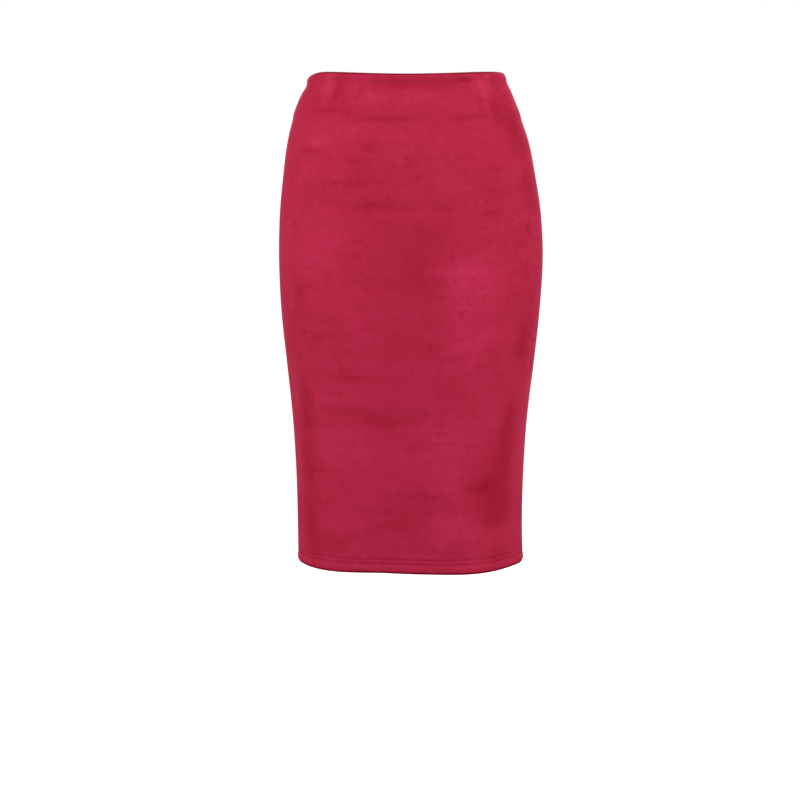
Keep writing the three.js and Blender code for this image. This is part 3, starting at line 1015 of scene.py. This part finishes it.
# %% Make the groups' helpers
def new_group(name, inputs, outputs):
    """A shader node group with its sockets, and a way to add nodes to it."""
    group = bpy.data.node_groups.new(name, "ShaderNodeTree")
    for socket_name, kind, value in inputs:
        socket = group.interface.new_socket(socket_name, in_out="INPUT", socket_type=kind)
        if value is not None:
            socket.default_value = value
    for socket_name, kind in outputs:
        group.interface.new_socket(socket_name, in_out="OUTPUT", socket_type=kind)
    enter = group.nodes.new("NodeGroupInput")
    leave = group.nodes.new("NodeGroupOutput")
    return group, enter, leave


def math_node(tree, operation, *values, clamp=False):
    """A math node. Its inputs are numbers or other nodes' outputs."""
    node = tree.nodes.new("ShaderNodeMath")
    node.operation = operation
    node.use_clamp = clamp
    for place, value in enumerate(values):
        if isinstance(value, (int, float)):
            node.inputs[place].default_value = value
        else:
            tree.links.new(value, node.inputs[place])
    return node.outputs[0]


def noise_node(tree, vector, scale, detail, roughness, distortion=0.0):
    """A noise texture's value."""
    node = tree.nodes.new("ShaderNodeTexNoise")
    tree.links.new(vector, node.inputs["Vector"])
    if isinstance(scale, (int, float)):
        node.inputs["Scale"].default_value = scale
    else:
        tree.links.new(scale, node.inputs["Scale"])
    node.inputs["Detail"].default_value = detail
    node.inputs["Roughness"].default_value = roughness
    node.inputs["Distortion"].default_value = distortion
    return node.outputs[0]


def stretched(tree, vector, turn, scale):
    """A vector that is turned and stretched, for strokes with a direction."""
    node = tree.nodes.new("ShaderNodeMapping")
    node.inputs["Rotation"].default_value = turn
    node.inputs["Scale"].default_value = scale
    tree.links.new(vector, node.inputs["Vector"])
    return node.outputs[0]


print("helpers for shader nodes are ready")

# %% Build the brushed nap
BLOTCH_LEVEL = 0.52
BLOTCH_LINE = 0.034
BLOTCH_DARK = 0.22
PATCH_SHARE = 0.55
nap, enter, leave = new_group(
    "brushed_nap",
    [("Vector", "NodeSocketVector", None), ("Mark Size", "NodeSocketFloat", 130.0)],
    [("Shade", "NodeSocketFloat"), ("Height", "NodeSocketFloat")],
)
vector = enter.outputs["Vector"]
patches = noise_node(nap, vector, 26.0, 3.0, 0.55, 0.4)
marks = noise_node(nap, vector, enter.outputs["Mark Size"], 3.0, 0.5, 0.8)
up = stretched(nap, vector, (0.0, 0.35, 0.2), (1.0, 1.0, 0.3))
across = stretched(nap, vector, (0.0, 0.06, 0.0), (0.13, 0.13, 1.0))
strokes_up = noise_node(nap, up, 230.0, 2.0, 0.5, 0.5)
strokes_across = noise_node(nap, across, 165.0, 2.5, 0.5, 0.6)
grain = noise_node(nap, vector, 1500.0, 2.0, 0.6)
blotches = noise_node(nap, vector, 42.0, 1.5, 0.5, 0.6)
where_rubbed = noise_node(nap, vector, 11.0, 1.0, 0.5)
shade = math_node(nap, "MULTIPLY_ADD", patches, PATCH_SHARE, -PATCH_SHARE / 2)
off_line = math_node(nap, "ABSOLUTE", math_node(nap, "SUBTRACT", blotches, BLOTCH_LEVEL))
outline = math_node(nap, "MULTIPLY_ADD", off_line, -1 / BLOTCH_LINE, 1.0, clamp=True)
rubbed = math_node(nap, "MULTIPLY_ADD", where_rubbed, 7.0, -3.35, clamp=True)
outline = math_node(nap, "MULTIPLY", outline, rubbed)
shade = math_node(nap, "MULTIPLY_ADD", outline, -BLOTCH_DARK, shade)
for value, share in ((marks, 0.75), (strokes_up, 0.2), (strokes_across, 0.46), (grain, 0.16)):
    part = math_node(nap, "MULTIPLY_ADD", value, share, -share / 2)
    shade = math_node(nap, "ADD", shade, part)
nap.links.new(shade, leave.inputs["Shade"])
height = math_node(nap, "MULTIPLY", marks, 0.35)
for value, share in ((strokes_up, 0.25), (strokes_across, 0.2), (grain, 0.6)):
    height = math_node(nap, "MULTIPLY_ADD", value, share, height)
nap.links.new(height, leave.inputs["Height"])
print("nodes in the nap", len(nap.nodes))

# %% Build the knitted loops
knit, enter, leave = new_group(
    "knitted_loops",
    [("Vector", "NodeSocketVector", None), ("Loops", "NodeSocketFloat", 900.0)],
    [("Shade", "NodeSocketFloat"), ("Height", "NodeSocketFloat")],
)
apart = knit.nodes.new("ShaderNodeSeparateXYZ")
knit.links.new(enter.outputs["Vector"], apart.inputs[0])
across = math_node(knit, "MULTIPLY", apart.outputs["X"], enter.outputs["Loops"])
along = math_node(knit, "MULTIPLY", apart.outputs["Y"], enter.outputs["Loops"])
slant = math_node(knit, "PINGPONG", across, 0.5)
bend = math_node(knit, "ADD", along, slant)
wave = math_node(knit, "SINE", math_node(knit, "MULTIPLY", bend, 2 * math.pi))
wave = math_node(knit, "MULTIPLY_ADD", wave, 0.5, 0.5)
rib = math_node(knit, "MULTIPLY", slant, 2.0)
loops = math_node(knit, "MULTIPLY", wave, rib)
uneven = noise_node(knit, enter.outputs["Vector"], 60.0, 3.0, 0.6)
half_loops = math_node(knit, "MULTIPLY", loops, 0.5)
knit.links.new(math_node(knit, "MULTIPLY_ADD", uneven, 0.5, half_loops), leave.inputs["Shade"])
knit.links.new(loops, leave.inputs["Height"])
print("nodes in the knit", len(knit.nodes))

# %% [markdown]
# The four finishes
# The suede's fibres catch light at a low angle, so its Principled shader has a good deal of sheen,
# almost no gloss, and a bump from the nap. Its colour moves between a deeper and a lighter crimson
# with the nap and with the painted light and shade of the patches, and a painted shade darkens it
# along the folded edges. The knit back is duller, the facing smoother, and the thread has a twist.
# All four differ mostly in numbers, so they share helpers.

# %% Make the suede
def new_material(name):
    """A material with a Principled shader, and its parts."""
    material = bpy.data.materials.new(name)
    material.use_nodes = True
    tree = material.node_tree
    return material, tree, tree.nodes["Principled BSDF"]


def add_group(tree, group, vector, values):
    """A node group placed in a material with its own values."""
    node = tree.nodes.new("ShaderNodeGroup")
    node.node_tree = group
    tree.links.new(vector, node.inputs["Vector"])
    for name, value in values.items():
        node.inputs[name].default_value = value
    return node


def mix_colours(tree, share, dark, light):
    """A colour between two, by a share. Each is three numbers or another node's output."""
    node = tree.nodes.new("ShaderNodeMix")
    node.data_type = "RGBA"
    tree.links.new(share, node.inputs["Factor"])
    for name, colour in (("A", dark), ("B", light)):
        if isinstance(colour, tuple):
            node.inputs[name].default_value = (*colour, 1)
        else:
            tree.links.new(colour, node.inputs[name])
    return node.outputs["Result"]


def add_bump(tree, shader, height, distance, strength):
    """A bump that feeds the shader's normal."""
    node = tree.nodes.new("ShaderNodeBump")
    node.inputs["Distance"].default_value = distance
    node.inputs["Strength"].default_value = strength
    tree.links.new(height, node.inputs["Height"])
    tree.links.new(node.outputs["Normal"], shader.inputs["Normal"])


SHEEN_TINT = (1.0, 0.25, 0.34, 1)


def soft_gloss(shader, gloss, sheen):
    """Little gloss, and a sheen tinted like the cloth."""
    shader.inputs["Specular IOR Level"].default_value = gloss
    shader.inputs["Sheen Weight"].default_value = sheen
    shader.inputs["Sheen Tint"].default_value = SHEEN_TINT


def shade_roughness(tree, shader, shade, rough, smoother):
    """A roughness that falls with the shade."""
    tree.links.new(math_node(tree, "MULTIPLY_ADD", shade, -smoother, rough), shader.inputs["Roughness"])


suede, tree, shader = new_material("suede_crimson")
coordinates = tree.nodes.new("ShaderNodeTexCoord")
brushed = add_group(tree, nap, coordinates.outputs["Object"], {"Mark Size": 130.0})
shade = brushed.outputs["Shade"]
# The attribute nap brings in the brushed nap and the painted light and shade.
lift = tree.nodes.new("ShaderNodeAttribute")
lift.attribute_name = "nap"
even = math_node(tree, "MULTIPLY_ADD", shade, 0.4, 0.48)
frayed = math_node(tree, "MULTIPLY_ADD", brushed.outputs["Height"], 0.8, -0.26)
share = math_node(tree, "MULTIPLY_ADD", lift.outputs["Fac"], frayed, even)
crimson = mix_colours(tree, share, (0.215, 0.0025, 0.013), (0.47, 0.027, 0.076))
# Painted shade: where the share falls below 0, mostly along the folded edges, the colour is mixed towards a
# near black crimson.
painted_edge_shade = math_node(tree, "MULTIPLY", share, -1.2, clamp=True)
folded = mix_colours(tree, painted_edge_shade, crimson, (0.06, 0.001, 0.006))
tree.links.new(folded, shader.inputs["Base Color"])
shade_roughness(tree, shader, shade, 0.88, 0.1)
soft_gloss(shader, gloss=0.04, sheen=0.3)
shader.inputs["Sheen Roughness"].default_value = 0.3
add_bump(tree, shader, brushed.outputs["Height"], 0.0004, 0.5)
print("suede made")

# %% Make the knit back and the facing
def knit_material(name, loops, dark, light, rough, smoother, gloss, sheen, relief):
    """A material of knitted loops, whose number is for each metre of cloth."""
    material, tree, shader = new_material(name)
    chart = tree.nodes.new("ShaderNodeUVMap")
    chart.uv_map = "cloth"
    looped = add_group(tree, knit, chart.outputs["UV"], {"Loops": loops})
    shade = looped.outputs["Shade"]
    tree.links.new(mix_colours(tree, shade, dark, light), shader.inputs["Base Color"])
    shade_roughness(tree, shader, shade, rough, smoother)
    soft_gloss(shader, gloss, sheen)
    add_bump(tree, shader, looped.outputs["Height"], relief, 0.6)
    return material


knit_back = knit_material(
    "suede_knit_back", 800.0, (0.22, 0.012, 0.03), (0.34, 0.02, 0.05),
    rough=0.92, smoother=0.1, gloss=0.1, sheen=0.15, relief=0.0002,
)
facing_knit = knit_material(
    "facing_knit", 1100.0, (0.24, 0.012, 0.034), (0.36, 0.022, 0.056),
    rough=0.8, smoother=0.15, gloss=0.15, sheen=0.1, relief=0.00015,
)
print("knits made")

# %% Make the thread
TWISTS = 900.0
thread, tree, shader = new_material("crimson_thread")
coordinates = tree.nodes.new("ShaderNodeTexCoord")
twist = tree.nodes.new("ShaderNodeTexWave")
twist.bands_direction = "DIAGONAL"
twist.inputs["Scale"].default_value = TWISTS
tree.links.new(coordinates.outputs["Object"], twist.inputs["Vector"])
shade = twist.outputs["Fac"]
twisted = mix_colours(tree, shade, (0.24, 0.005, 0.018), (0.40, 0.012, 0.04))
tree.links.new(twisted, shader.inputs["Base Color"])
shade_roughness(tree, shader, shade, 0.75, 0.1)
soft_gloss(shader, gloss=0.12, sheen=0.15)
add_bump(tree, shader, shade, 0.00005, 0.5)
print("materials", [material.name for material in (suede, knit_back, facing_knit, thread)])

# %% [markdown]
# Dressing the solids
# Each cloth piece replaces its solid and rides on the one rigid body. The back of the cloth gets
# the knit through the modifier's material offset, so the two sides of one sheet differ, as they do on
# the real one.

# %% Give each piece its material, body and solid
for piece, panel in zip(panels, PANELS):
    piece.data.materials.append(suede)
    piece.data.materials.append(knit_back)
    piece.modifiers["wall"].material_offset = 1
    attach(piece, "root")
    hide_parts(panel["solid"])
for piece, facing in zip(facings, FACINGS):
    piece.data.materials.append(facing_knit)
    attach(piece, "root")
    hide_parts(facing["solid"])
sewing = [hem_stitches, looper, understitch, overlock, seam_stitches, bar_tack]
for piece in sewing:
    piece.data.materials.append(thread)
    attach(piece, "root")
print("pieces", [piece.name for piece in panels + facings + sewing])

for piece, flat, on_it in (
    (panels[0], (0.451, 0.624), [hem_stitches, looper]),
    (panels[1], (0.257, 0.622), [seam_stitches, bar_tack]),
    (panels[2], (0.257, 0.622), []),
):
    round(sheet_area(piece), 4)
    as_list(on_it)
for piece, area, under, on_it in (
    (facings[0], 0.0171, [panels[0]], [understitch]),
    (facings[1], 0.0166, [panels[1], panels[2]], [overlock]),
):
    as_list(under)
    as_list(on_it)
print("sheets declared", len(panels) + len(facings))

# %% [markdown]
# Floor, light and camera
# The skirt is shown at the height at which it is worn, above a plain pale floor that is white to the
# camera. Six soft boxes light the nap: one high in front, two in front at the sides, two at the sides
# and one high behind. A weak white world fills the shadows. The camera stands three metres in front
# at waist height and looks slightly down, so the waist edge is seen level and the hem from above.

# %% Set the floor
FLOOR_Z = -1.0
floor_mesh = bpy.data.meshes.new("floor")
shape = bmesh.new()
bmesh.ops.create_grid(shape, x_segments=1, y_segments=1, size=30)
shape.to_mesh(floor_mesh)
shape.free()
floor_mesh.transform(Matrix.Translation((0, 0, FLOOR_Z)))
floor = bpy.data.objects.new("floor", floor_mesh)
bpy.context.scene.collection.objects.link(floor)
pale, tree, shader = new_material("pale_floor")
shader.inputs["Base Color"].default_value = (0.4, 0.4, 0.4, 1)
shader.inputs["Roughness"].default_value = 0.9
shader.inputs["Emission Color"].default_value = (1, 1, 1, 1)
seen_directly = tree.nodes.new("ShaderNodeLightPath")
tree.links.new(seen_directly.outputs["Is Camera Ray"], shader.inputs["Emission Strength"])
floor_mesh.materials.append(pale)
print("floor at", FLOOR_Z, "m")

# %% Set the light
def soft_light(name, place, target, size, power):
    """A large square area light that faces a point."""
    data = bpy.data.lights.new(name, "AREA")
    data.size = size
    data.energy = power
    light = bpy.data.objects.new(name, data)
    light.location = place
    light.rotation_euler = (Vector(target) - Vector(place)).to_track_quat("-Z", "Y").to_euler()
    bpy.context.scene.collection.objects.link(light)


MIDDLE = (0, 0, -0.27)
for name, place, target, size, power in (
    ("front_top", (-0.25, -1.8, 1.2), (0, 0, -0.2), 1.4, 33),
    ("front_left", (-1.9, -1.7, 0.5), MIDDLE, 1.4, 24),
    ("front_right", (1.9, -1.7, 0.5), MIDDLE, 1.4, 31),
    ("side_left", (-2.3, 0.0, 0.4), MIDDLE, 1.4, 31),
    ("side_right", (2.3, 0.0, 0.4), MIDDLE, 1.4, 31),
    ("back_top", (0.2, 2.2, 1.2), MIDDLE, 1.6, 70),
):
    soft_light(name, place, target, size, power)

# %% Set the world
WORLD_LIGHT = 0.15
world = bpy.data.worlds.new("studio")
bpy.context.scene.world = world
world.use_nodes = True
tree = world.node_tree
tree.nodes.clear()
seen = tree.nodes.new("ShaderNodeBackground")
seen.inputs["Strength"].default_value = 1.0
seen.inputs["Color"].default_value = (1, 1, 1, 1)
lit = tree.nodes.new("ShaderNodeBackground")
lit.inputs["Strength"].default_value = WORLD_LIGHT
lit.inputs["Color"].default_value = (1, 1, 1, 1)
path = tree.nodes.new("ShaderNodeLightPath")
mix = tree.nodes.new("ShaderNodeMixShader")
result = tree.nodes.new("ShaderNodeOutputWorld")
tree.links.new(path.outputs["Is Camera Ray"], mix.inputs[0])
tree.links.new(lit.outputs[0], mix.inputs[1])
tree.links.new(seen.outputs[0], mix.inputs[2])
tree.links.new(mix.outputs[0], result.inputs["Surface"])
bpy.context.scene.view_settings.view_transform = "Standard"
print("world light", WORLD_LIGHT)

# %% Set the camera
CAMERA_PLACE = (-0.0127, -3.0, 0.018)
CAMERA_DOWN = 7.416
LENS = 111.5625
lens = bpy.data.cameras.new("camera")
lens.lens = LENS
lens.sensor_width = 36
camera = bpy.data.objects.new("camera", lens)
camera.location = CAMERA_PLACE
camera.rotation_euler = (math.radians(90 - CAMERA_DOWN), 0, 0)
bpy.context.scene.collection.objects.link(camera)
bpy.context.scene.camera = camera
print("camera", CAMERA_PLACE, "looks down", CAMERA_DOWN, "degrees")
